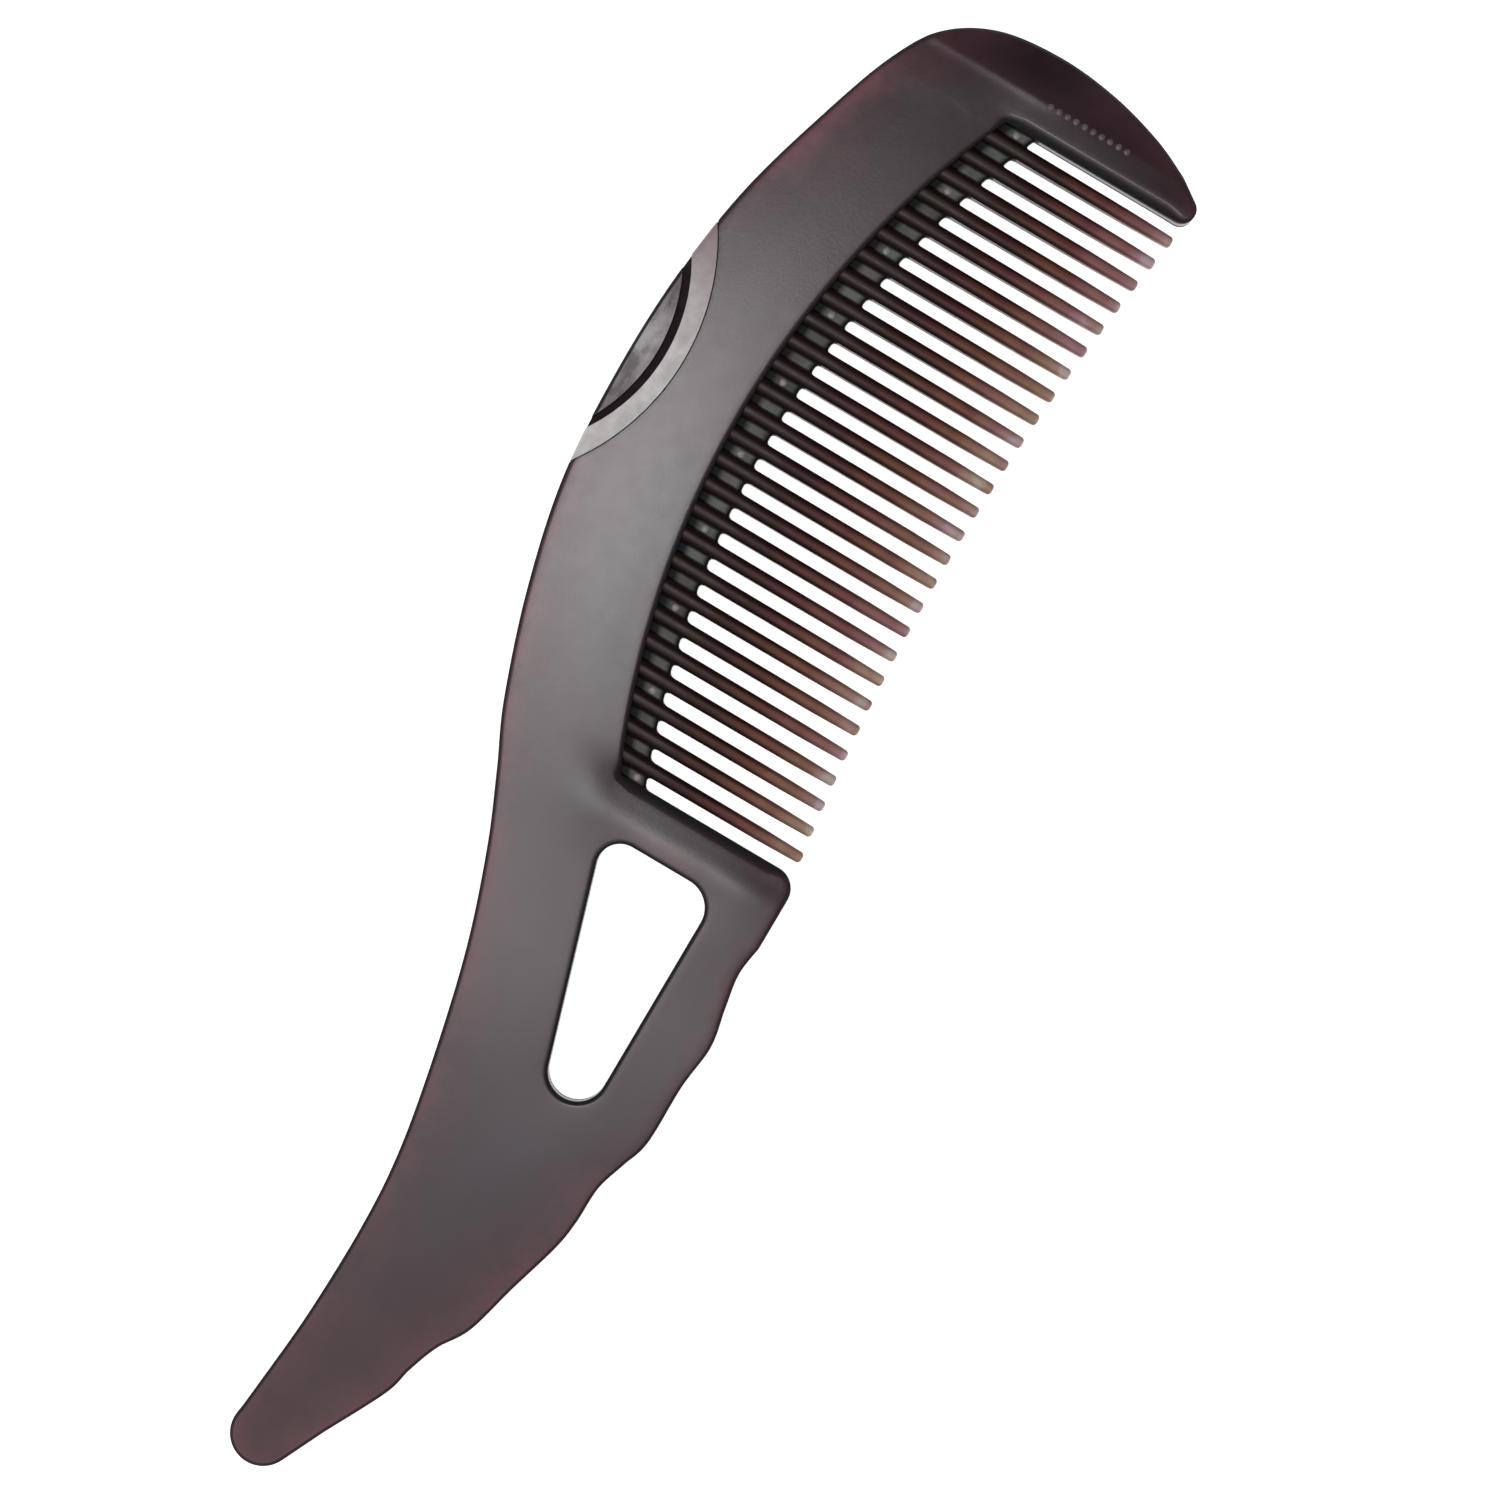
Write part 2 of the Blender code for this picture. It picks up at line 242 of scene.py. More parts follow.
def evenly_spaced(outline, spacing):
    """A closed outline's points set out again at even distances."""
    points = np.array(outline + outline[:1])
    steps = np.linalg.norm(np.diff(points, axis=0), axis=1)
    kept = np.concatenate([[True], steps > 1e-7])
    points = points[kept]
    along = np.concatenate([[0], np.cumsum(steps[steps > 1e-7])])
    places = np.linspace(0, along[-1], round(along[-1] / spacing), endpoint=False)
    return np.stack([np.interp(places, along, points[:, axis]) for axis in (0, 1)], axis=1)


def inward_normals(loop):
    """Unit normals to the left of a closed loop's direction."""
    along = np.roll(loop, -1, axis=0) - np.roll(loop, 1, axis=0)
    normals = np.stack([-along[:, 1], along[:, 0]], axis=1)
    return normals / np.linalg.norm(normals, axis=1, keepdims=True)


def inside(points, loop):
    """Which points lie inside a closed loop, by the even-odd rule."""
    crossings = np.zeros(len(points), int)
    ends = np.roll(loop, -1, axis=0)
    for (ax, ay), (bx, by) in zip(loop, ends):
        if ay == by:
            continue
        spans = (points[:, 1] < ay) != (points[:, 1] < by)
        crossing_x = ax + (points[:, 1] - ay) * (bx - ax) / (by - ay)
        crossings += spans & (points[:, 0] < crossing_x)
    return crossings % 2 == 1


def nearest(points, targets, chunk=2000):
    """Each point's distance to its nearest target, and which target that is."""
    distances, which = [], []
    for i in range(0, len(points), chunk):
        apart = ((points[i : i + chunk, None, :] - targets[None, :, :]) ** 2).sum(axis=2)
        which.append(apart.argmin(axis=1))
        distances.append(np.sqrt(apart.min(axis=1)))
    return np.concatenate(distances), np.concatenate(which)


def staggered_grid(low, high, spacing):
    xs = np.arange(low[0], high[0], spacing)
    ys = np.arange(low[1], high[1], spacing * math.sqrt(3) / 2)
    grid_x, grid_y = np.meshgrid(xs, ys)
    grid_x[1::2] += spacing / 2
    return np.stack([grid_x.ravel(), grid_y.ravel()], axis=1)


# ---------------------------------------------------------------- the body

def along_row(loop):
    """Which outline points lie on the spine's edge over the teeth, and which inside the guards."""
    x, y = loop.T
    from_middle = np.abs(x - ROW_MIDDLE_X)
    inner = from_middle < GUARD_HALF_SPAN + 0.01 * MM
    on_band = inner & (np.abs(y - band_y(np.where(inner, x, ROW_MIDDLE_X))) < LINE_TOLERANCE)
    on_guard = (np.abs(from_middle - GUARD_HALF_SPAN) < LINE_TOLERANCE) & ~on_band
    return on_band, on_guard


def edge_widths(loop):
    """How wide the softened edge is along the outline."""
    on_band, on_guard = along_row(loop)
    widths = np.full(len(loop), OUTER_EDGE_WIDTH)
    widths[on_band] = BAND_EDGE_WIDTH
    widths[on_guard] = GUARD_EDGE_WIDTH
    shifted = [np.roll(widths, step) for step in range(-WIDTH_SMOOTHING, WIDTH_SMOOTHING + 1)]
    return np.mean(shifted, axis=0)


def edge_drop(depth, width):
    """How far the face lies below its full height at a distance in from the outline."""
    share = np.clip(depth / width, 0, 1)
    return EDGE_SLOPE * width * (1 - share) ** EDGE_POWER / EDGE_POWER


def bell(values, middle, half_width):
    """One at the middle and falling smoothly to nothing at either side."""
    return np.exp(-(((values - middle) / half_width) ** 2))


def step_up(values, middle, softness):
    """A smooth step from nothing to one."""
    return 1 / (1 + np.exp(-(values - middle) / softness))


def guard_relief(points):
    """The creases and ridges of the two guards, as a height to add."""
    x, y = points.T
    relief = -HEAD_CREASE_SLOPE * np.clip(x - HEAD_CREASE_X, 0, None)
    upper_head = step_up(y, -4 * MM, 1 * MM)
    relief += HEAD_RIDGE_HEIGHT * upper_head * bell(x, HEAD_CREASE_X, HEAD_RIDGE_HALF_WIDTH)
    past_ridge = np.logaddexp(0, np.clip((x - HEEL_RIDGE_X) / HEEL_RIDGE_SOFTNESS, -20, 20))
    heel = step_up(-y, -1.2 * MM, 1.9 * MM) * step_up(-x, 2.9 * MM, 0.7 * MM)
    relief -= HEEL_SLOPE * heel * past_ridge * HEEL_RIDGE_SOFTNESS
    return relief


def guard_painted_shade(points):
    """How much painted shade darkens the guards' hollows and a few patches nearby, compared with the rest
    of the face.
    """
    x, y = points.T
    channel = 0.25 * bell(x, -6.9 * MM, 2.2 * MM) * step_up(-y, -1 * MM, 1.5 * MM)
    corner = 0.32 * bell(np.hypot(x + 7.5 * MM, y - 2 * MM), 0, 5.5 * MM)
    beyond = 0.36 * step_up(x, 95.5 * MM, 0.6 * MM) * bell(y, 0, 6.5 * MM)
    head = 0.3 * bell(x, 92.5 * MM, 3 * MM) * step_up(-y, 2 * MM, 3 * MM)
    low_heel = 0.22 * bell(np.hypot(x + 16 * MM, y + 22 * MM), 0, 8 * MM)
    last_socket = 0.3 * bell(np.hypot(x - 86 * MM, y - 6.5 * MM), 0, 5 * MM)
    return np.clip(np.maximum.reduce([channel, corner, beyond, head, low_heel, last_socket]), 0, 1)


def guard_blush(points):
    """How much redder the guards' ridges are than the rest of the face."""
    x, y = points.T
    heel = 0.9 * bell(x, -8.9 * MM, 1.3 * MM) * bell(y, -8 * MM, 7 * MM)
    ridge = 0.3 * bell(x, HEAD_CREASE_X, 1.1 * MM) * step_up(y, -4 * MM, 1.5 * MM)
    corner = 0.3 * step_up(x, 94.5 * MM, 0.5 * MM) * step_up(y, 6 * MM, 1 * MM)
    low_heel = 0.5 * bell(np.hypot(x + 13 * MM, y + 20 * MM), 0, 7 * MM)
    return np.maximum.reduce([heel, ridge, corner, low_heel])


def crown_height(depth):
    share = np.clip(depth / CROWN_REACH, 0, 1)
    return CROWN * (1 - (1 - share) ** 2)


def in_guard(points):
    """Which points lie where the guards' creases need a finer mesh."""
    x, y = points.T
    in_heel = (x > HEEL_ZONE_LOW_X) & (x < HEEL_ZONE_HIGH_X) & (y < HEEL_ZONE_TOP_Y)
    return (x > HEAD_ZONE_X) | in_heel


def face_plan(loops, widths):
    """Rings along the loops and points between them.

    Returns the plan points, their depths and edge widths, the rings and the triangles between them.
    """
    shares = 1 - np.cos(np.linspace(0, math.pi / 2, EDGE_RINGS))
    steps = [(share, 0.0) for share in shares] + [(1.0, depth) for depth in FLAT_RINGS]
    rings, points, depth_of, width_of = [], [], [], []
    count = 0
    for loop, width in zip(loops, widths):
        normals = inward_normals(loop)
        rows = []
        for share, further in steps:
            depth = share * width + further
            points.append(loop + normals * depth[:, None])
            depth_of.append(depth)
            width_of.append(width)
            rows.append(np.arange(count, count + len(loop)))
            count += len(loop)
        rings.append(rows)
    edge_points = np.concatenate(loops)
    low, high = edge_points.min(axis=0), edge_points.max(axis=0)
    coarse = staggered_grid(low, high, FACE_SPACING)
    fine = staggered_grid(low, high, GUARD_SPACING)
    filling = np.concatenate([coarse[~in_guard(coarse)], fine[in_guard(fine)]])
    within = inside(filling, loops[0])
    for loop in loops[1:]:
        within &= ~inside(filling, loop)
    filling = filling[within]
    filling_depth, which = nearest(filling, edge_points)
    filling_width = np.concatenate(widths)[which]
    clear = filling_depth > filling_width + FLAT_RINGS[-1] + RING_CLEARANCE
    points = np.concatenate([*points, filling[clear]])
    depth_of = np.concatenate([*depth_of, filling_depth[clear]])
    width_of = np.concatenate([*width_of, filling_width[clear]])

    inner = [rows[-1] for rows in rings]
    chosen = np.concatenate([*inner, np.arange(count, len(points))])
    edges, first = [], 0
    for ring in inner:
        size = len(ring)
        edges += [(first + i, first + (i + 1) % size) for i in range(size)]
        first += size
    flat = [Vector(point) / MM for point in points[chosen]]
    _, _, triangles, origins, _, _ = delaunay_2d_cdt(flat, edges, [], 0, 1e-6)
    index = np.array([chosen[origin[0]] for origin in origins])
    triangles = index[np.array(triangles)]
    middles = points[triangles].mean(axis=1)
    kept = inside(middles, points[inner[0]])
    for ring in inner[1:]:
        kept &= ~inside(middles, points[ring])
    return points, depth_of, width_of, rings, triangles[kept]


def smoothed(values, triangles, movable, rounds):
    """Values averaged with their neighbours' again and again, where they may move."""
    ends = np.concatenate([triangles[:, [0, 1]], triangles[:, [1, 2]], triangles[:, [2, 0]]])
    ends = np.concatenate([ends, ends[:, ::-1]])
    degree = np.bincount(ends[:, 0], minlength=len(values)).clip(1)
    for _ in range(rounds):
        mean = np.bincount(ends[:, 0], weights=values[ends[:, 1]], minlength=len(values)) / degree
        values = np.where(movable, mean, values)
    return values


def quads_between(row, next_row):
    return np.stack([row, np.roll(row, -1), np.roll(next_row, -1), next_row], axis=1)


def mesh_from(name, points, faces, **attributes):
    mesh = bpy.data.meshes.new(name)
    mesh.from_pydata([tuple(point) for point in points], [], [tuple(face) for face in faces])
    for key, values in attributes.items():
        layer = mesh.attributes.new(key, "FLOAT", "POINT")
        layer.data.foreach_set("value", np.asarray(values, np.float32))
    mesh.validate()
    return mesh


def outward(mesh):
    shape = bmesh.new()
    shape.from_mesh(mesh)
    bmesh.ops.recalc_face_normals(shape, faces=shape.faces)
    shape.to_mesh(mesh)
    shape.free()


def make_blank():
    """The whole body without the half-moon's recesses, one closed surface."""
    outer = evenly_spaced(body_outline(), OUTLINE_SPACING)
    hole = evenly_spaced(rounded_corners(HOLE_CORNERS), OUTLINE_SPACING)
    widths = [edge_widths(outer), np.full(len(hole), HOLE_EDGE_WIDTH)]
    points, depth, width, rings, triangles = face_plan([outer, hole], widths)
    movable = np.zeros(len(points), bool)
    movable[rings[-1][-1][-1] + 1 :] = True
    crown = smoothed(crown_height(depth), triangles, movable, CROWN_SMOOTHING)
    height = HALF_THICKNESS - CROWN - edge_drop(depth, width) + crown + guard_relief(points)
    height = np.minimum(height, HALF_THICKNESS)
    upper = np.column_stack([points, MID_PLANE + height])
    lower = np.column_stack([points, MID_PLANE - height])
    waist = np.concatenate([outer, hole])
    waist = np.column_stack([waist, np.full(len(waist), MID_PLANE)])
    count = len(points)
    faces = [*triangles.tolist(), *(triangles[:, ::-1] + count).tolist()]
    first = 2 * count
    for rows in rings:
        for row, next_row in zip(rows, rows[1:]):
            faces += quads_between(row, next_row).tolist()
            faces += quads_between(next_row + count, row + count).tolist()
        waist_row = first + np.arange(len(rows[0]))
        faces += quads_between(waist_row, rows[0]).tolist()
        faces += quads_between(rows[0] + count, waist_row).tolist()
        first += len(waist_row)
    # rim is painted shade: the colour darkens towards black through the softened edge and in the guards'
    # hollows.
    rim = np.maximum(np.clip(1 - depth / width, 0, 1) ** EDGE_SHADE_POWER, guard_painted_shade(points))
    on_row = np.logical_or(*along_row(outer))
    from_outside, _ = nearest(points, outer[~on_row])
    x, y = points.T
    strength = (1 + 0.4 * step_up(y, 8 * MM, 3 * MM)) * (1 - 0.65 * step_up(x, 93 * MM, 1.5 * MM))
    near_outline = strength * np.exp(-from_outside / BLUSH_REACH)
    redder_back = 0.7 * bell(x, 72 * MM, 16 * MM) * step_up(y, 13 * MM, 1 * MM)
    blush = np.maximum(near_outline * (1 + redder_back), guard_blush(points))
    rim = np.concatenate([rim, rim, np.full(len(waist), WAIST_PAINTED_SHADE)])
    blush = np.concatenate([blush, blush, np.full(len(waist), WAIST_BLUSH)])
    mesh = mesh_from("comb_blank", np.concatenate([upper, lower, waist]), faces, rim=rim, blush=blush)
    outward(mesh)
    return mesh


# ---------------------------------------------------------------- pockets between the teeth

POCKET_COLUMNS = 16
POCKET_ROWS = 22
GAP_CORNER_RADIUS = 0.55 * MM
POCKET_EDGE_ROUND = 0.3 * MM
POCKET_WALL_FILLET = 0.35 * MM
POCKET_BURIED = 0.8 * MM
PIN_EVERY = 3
PIN_RADIUS = 0.47 * MM
PIN_HEIGHT = 0.09 * MM
PIN_BELOW_BAND = 2.3 * MM


def gap_spans():
    """The left and right side of each gap, from the heel guard to the head guard."""
    sides = [ROW_MIDDLE_X - GUARD_HALF_SPAN]
    for i in range(len(TOOTH_NAMES)):
        x = FIRST_TOOTH_X + i * TOOTH_PITCH
        sides += [x - TOOTH_HALF_WIDTH, x + TOOTH_HALF_WIDTH]
    sides.append(ROW_MIDDLE_X + GUARD_HALF_SPAN)
    return list(zip(sides[::2], sides[1::2]))


def pocket_unshaded(from_wall, from_band, from_edge):
    """How little painted shade the pocket's floor gets: none on a patch low in its middle, more and more
    towards its walls, the spine's edge and the gap's end.
    """
    across = np.clip((from_wall - 0.02 * MM) / (0.33 * MM), 0, 1)
    down = np.clip((from_band - 0.9 * MM) / (0.8 * MM), 0, 1)
    end = np.clip((from_edge - 0.3 * MM) / (0.6 * MM), 0, 1)
    return across * down * end


def make_pockets():
    """The thin floor between the root bars, with rounded gap ends, as one closed strip."""
    columns = []
    for left, right in gap_spans():
        middle, half = (left + right) / 2, (right - left) / 2
        for x in np.linspace(left, right, POCKET_COLUMNS):
            from_wall = half - abs(x - middle)
            from_corner = np.clip(GAP_CORNER_RADIUS - from_wall, 0, GAP_CORNER_RADIUS)
            dip = GAP_CORNER_RADIUS - math.sqrt(GAP_CORNER_RADIUS**2 - from_corner**2)
            columns.append((x, web_edge_y(x) - dip, from_wall))
    first, last = columns[0], columns[-1]
    before = (first[0] - POCKET_BURIED, first[1], 0.0)
    after = (last[0] + POCKET_BURIED, last[1], 0.0)
    columns = [before, *columns, after]
    points, light, rows = [], [], []
    for x, edge, from_wall in columns:
        back = band_y(np.clip(x, ROW_MIDDLE_X - GUARD_HALF_SPAN, ROW_MIDDLE_X + GUARD_HALF_SPAN))
        lift = max(0.0, 1 - from_wall / POCKET_WALL_FILLET)
        floor = WEB_HALF_THICKNESS + POCKET_WALL_FILLET * lift**3
        front = edge + POCKET_EDGE_ROUND
        section = [(y, floor) for y in np.linspace(back + POCKET_BURIED, front, POCKET_ROWS)[:-1]]
        for angle in np.linspace(0, math.pi / 2, 6):
            section.append((front - POCKET_EDGE_ROUND * math.sin(angle), floor * math.cos(angle)))
        section += [(y, -z) for y, z in section[-2::-1]]
        rows.append(np.arange(len(points), len(points) + len(section)))
        points += [(x, y, MID_PLANE + z) for y, z in section]
        light += [pocket_unshaded(from_wall, back - y, y - edge) for y, _ in section]
    faces = [rows[0].tolist(), rows[-1][::-1].tolist()]
    for row, next_row in zip(rows, rows[1:]):
        faces += quads_between(row, next_row).tolist()
    # rim here is painted shade: black towards the pocket's walls, the spine's edge and the gap's end.
    mesh = mesh_from("pockets", points, faces, rim=1 - np.array(light), blush=np.zeros(len(points)))
    outward(mesh)
    return mesh


def add_pin_marks(shape):
    """The round ejector marks on the floor of every third pocket, on both faces."""
    for left, right in gap_spans()[::PIN_EVERY]:
        x = (left + right) / 2
        y = band_y(x) - PIN_BELOW_BAND
        for side in (1, -1):
            made = bmesh.ops.create_uvsphere(shape, u_segments=24, v_segments=12, radius=PIN_RADIUS)
            for vert in made["verts"]:
                vert.co.z *= PIN_HEIGHT / PIN_RADIUS
                vert.co += Vector((x, y, MID_PLANE + side * WEB_HALF_THICKNESS))
            for face in {face for vert in made["verts"] for face in vert.link_faces}:
                face.material_index = PIN_SURFACE


# ---------------------------------------------------------------- shared object helpers

SHARP_DEGREES = 38
TOOTH_SHARP_DEGREES = 36
DOT_SHARP_DEGREES = 80


def new_object(name, mesh, slot, *replaced):
    thing = bpy.data.objects.new(name, mesh)
    bpy.context.scene.collection.objects.link(thing)
    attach(thing, "root")
    if replaced:
        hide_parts(*replaced)
    return thing


def smooth(thing, angle=SHARP_DEGREES):
    thing.data.shade_smooth()
    thing.data.set_sharp_from_angle(angle=math.radians(angle))


def evaluated_copy(thing, name):
    """The mesh that an object's modifiers make of it."""
    bpy.context.view_layer.update()
    mesh = bpy.data.meshes.new_from_object(thing.evaluated_get(bpy.context.evaluated_depsgraph_get()))
    mesh.name = name
    return mesh


def tool(name, mesh):
    thing = bpy.data.objects.new(name, mesh)
    bpy.context.scene.collection.objects.link(thing)
    return thing


def disc_mesh(name, middle, radius, low_z, high_z, sides=MOON_DISC_SIDES):
    shape = bmesh.new()
    bmesh.ops.create_cone(
        shape, cap_ends=True, segments=sides, radius1=radius, radius2=radius, depth=high_z - low_z
    )
    bmesh.ops.translate(shape, verts=shape.verts, vec=(*middle, (low_z + high_z) / 2))
    mesh = bpy.data.meshes.new(name)
    shape.to_mesh(mesh)
    shape.free()
    return mesh


def cut_mesh(name, mesh, cuts):
    """A mesh after Boolean cuts, each an operation and another mesh."""
    thing = tool(name, mesh)
    tools = []
    for operation, other in cuts:
        tools.append(tool(other.name, other))
        modifier = thing.modifiers.new(operation, "BOOLEAN")
        modifier.operation = operation
        modifier.solver = "EXACT"
        modifier.object = tools[-1]
    made = evaluated_copy(thing, name)
    for used in (*tools, thing):
        bpy.data.objects.remove(used)
    return made


# ---------------------------------------------------------------- materials

class Nodes:
    """A short way to write the node tree of a material or a world."""

    def __init__(self, owner):
        owner.use_nodes = True
        self.owner = owner
        self.tree = owner.node_tree
        self.surface = self.tree.nodes.get("Principled BSDF")

    def add(self, kind, inputs=(), **settings):
        node = self.tree.nodes.new(kind)
        for key, value in settings.items():
            setattr(node, key, value)
        for key, value in dict(inputs).items():
            self.feed(node, key, value)
        return node

    def feed(self, node, key, value):
        if isinstance(value, bpy.types.NodeSocket):
            self.tree.links.new(value, node.inputs[key])
        else:
            node.inputs[key].default_value = value

    def set(self, **inputs):
        for key, value in inputs.items():
            self.feed(self.surface, key.replace("_", " "), value)

    def place(self, scale=(1, 1, 1)):
        coordinates = self.add("ShaderNodeTexCoord").outputs["Object"]
        return self.add("ShaderNodeMapping", {"Vector": coordinates, "Scale": scale}).outputs["Vector"]

    def noise(self, scale, detail=3.0, roughness=0.5, stretch=(1, 1, 1)):
        inputs = {"Vector": self.place(stretch), "Scale": scale, "Detail": detail, "Roughness": roughness}
        return self.add("ShaderNodeTexNoise", inputs).outputs["Fac"]

    def ramp(self, factor, stops):
        node = self.add("ShaderNodeValToRGB", {"Fac": factor})
        elements = node.color_ramp.elements
        while len(elements) < len(stops):
            elements.new(0.5)
        for element, (position, colour) in zip(elements, stops):
            element.position = position
            element.color = (*colour, 1)
        return node.outputs["Color"]

    def mix(self, factor, a, b, blend="MIX"):
        node = self.add("ShaderNodeMix", data_type="RGBA", blend_type=blend)
        for key, value in ((0, factor), (6, a), (7, b)):
            if isinstance(value, bpy.types.NodeSocket):
                self.tree.links.new(value, node.inputs[key])
            else:
                node.inputs[key].default_value = (*value, 1) if isinstance(value, tuple) else value
        return node.outputs[2]

    def range(self, value, low, high, to_low, to_high):
        inputs = {"Value": value, "From Min": low, "From Max": high, "To Min": to_low, "To Max": to_high}
        return self.add("ShaderNodeMapRange", inputs).outputs["Result"]

    def attribute(self, name):
        return self.add("ShaderNodeAttribute", attribute_name=name).outputs["Fac"]

    def axis(self, name):
        return self.add("ShaderNodeSeparateXYZ", {"Vector": self.place()}).outputs[name]

    def plan_distance(self, middle):
        """The distance from a vertical line through a plan point."""
        node = self.add("ShaderNodeVectorMath", operation="DISTANCE")
        self.feed(node, 0, self.place((1, 1, 0)))
        self.feed(node, 1, (*middle, 0))
        return node.outputs["Value"]

    def arithmetic(self, operation, a, b):
        node = self.add("ShaderNodeMath", operation=operation)
        self.feed(node, 0, a)
        self.feed(node, 1, b)
        return node.outputs["Value"]

    def product(self, a, b):
        return self.arithmetic("MULTIPLY", a, b)

    def total(self, a, b):
        return self.arithmetic("ADD", a, b)

    def bell(self, value, middle, half_width):
        """One at the middle and falling to nothing at either side."""
        rise = self.range(value, middle - 2 * half_width, middle, 0.0, 1.0)
        fall = self.range(value, middle, middle + 2 * half_width, 1.0, 0.0)
        return self.product(rise, fall)

    def bump(self, height, distance, strength=1.0):
        inputs = {"Height": height, "Distance": distance, "Strength": strength}
        self.set(Normal=self.add("ShaderNodeBump", inputs).outputs["Normal"])


PLASTIC_IOR = 1.46
DEEP_BROWN = (0.066, 0.037, 0.047)
GREY_BROWN = (0.066, 0.052, 0.064)
PAINTED_HIGHLIGHT_BROWN = (0.12, 0.1, 0.11)
WARM_BROWN = (0.088, 0.042, 0.046)
BLUSH_BROWN = (0.195, 0.073, 0.092)
HEAD_SHADED_BROWN = (0.046, 0.023, 0.03)
PAINTED_SHADE_BLACK = (0.005, 0.0035, 0.004)


def body_material():
    """Satin dark brown moulding, redder towards its outline, with painted shade that makes it nearly
    black at its edges and darker in the guards' hollows and around the half-moon.
    """
    nodes = Nodes(bpy.data.materials.new("body_plastic"))
    clouds = nodes.noise(38, 3.0, 0.55, (1, 1.6, 1))
    base = nodes.ramp(clouds, ((0.38, DEEP_BROWN), (0.62, GREY_BROWN)))
    # A painted highlight: the handle above the finger hole is lightened towards a pale grey-brown.
    above_hole = nodes.range(nodes.axis("Y"), -18 * MM, -8 * MM, 0.5, 0.9)
    pale = nodes.product(nodes.bell(nodes.axis("X"), -27 * MM, 9 * MM), above_hole)
    base = nodes.mix(pale, base, PAINTED_HIGHLIGHT_BROWN)
    to_handle = nodes.range(nodes.axis("X"), -50 * MM, -90 * MM, 0.0, 0.8)
    base = nodes.mix(to_handle, base, WARM_BROWN)
    blotches = nodes.range(nodes.noise(75, 4.0, 0.65), 0.4, 0.6, 0.2, 0.9)
    # Darker and redder towards the head: the darkening is painted shade, the redness the plastic's tone.
    base = nodes.mix(nodes.range(nodes.axis("X"), 55 * MM, 90 * MM, 0.0, 0.85), base, HEAD_SHADED_BROWN)
    base = nodes.mix(nodes.product(nodes.attribute("blush"), blotches), base, BLUSH_BROWN)
    # A painted shadow line just outside the half-moon's recess.
    from_moon = nodes.plan_distance(MOON_RECESS_MIDDLE)
    moon_shadow_line = nodes.range(from_moon, MOON_RECESS_RADIUS, MOON_RECESS_RADIUS + 0.6 * MM, 0.4, 0.0)
    # Painted shade: the softened edges, the guards' hollows and the shadow line darken towards black and
    # roughen a little.
    dark = nodes.arithmetic("MAXIMUM", moon_shadow_line, nodes.attribute("rim"))
    base = nodes.mix(nodes.range(dark, 0.0, 0.6, 0.0, 0.97), base, PAINTED_SHADE_BLACK)
    fine = nodes.range(nodes.noise(420, 4.0, 0.6), 0.3, 0.7, 0.215, 0.235)
    nodes.set(
        Base_Color=base,
        Roughness=nodes.total(fine, nodes.range(dark, 0.35, 0.75, 0.0, 0.55)),
        IOR=PLASTIC_IOR,
    )
    nodes.bump(nodes.noise(2600, 2.0, 0.5), 0.012 * MM, 0.35)
    return nodes.owner


def pocket_material():
    """Grey-green on the pockets' pale patches, with painted shade turning them black in their corners and
    along their walls.
    """
    nodes = Nodes(bpy.data.materials.new("pocket_plastic"))
    grain = nodes.noise(260, 3.0)
    patch = nodes.ramp(grain, ((0.35, (0.1, 0.097, 0.092)), (0.65, (0.185, 0.185, 0.17))))
    # Painted shade: the pocket darkens towards black where rim is high.
    base = nodes.mix(nodes.attribute("rim"), patch, PAINTED_SHADE_BLACK)
    nodes.set(Base_Color=base, Roughness=0.55, IOR=PLASTIC_IOR, Specular_IOR_Level=0.2)
    nodes.bump(nodes.noise(1800, 2.0), 0.01 * MM, 0.4)
    return nodes.owner


def pin_material():
    """Paler, shinier plastic where the ejector pins pressed; the paler colour is partly the mark's own
    tone and partly a painted glint.
    """
    nodes = Nodes(bpy.data.materials.new("pin_mark_plastic"))
    colour = nodes.ramp(nodes.noise(3000), ((0.3, (0.2, 0.18, 0.18)), (0.7, (0.36, 0.34, 0.33))))
    nodes.set(Base_Color=colour, Roughness=0.35)
    return nodes.owner


def recess_shade_material():
    """The bottom of the half-moon's recess and groove, painted nearly black as shade."""
    nodes = Nodes(bpy.data.materials.new("recess_shaded_plastic"))
    colour = nodes.ramp(nodes.noise(700), ((0.3, (0.014, 0.006, 0.009)), (0.7, (0.03, 0.015, 0.019))))
    nodes.set(Base_Color=colour, Roughness=0.6, Specular_IOR_Level=0.15)
    return nodes.owner


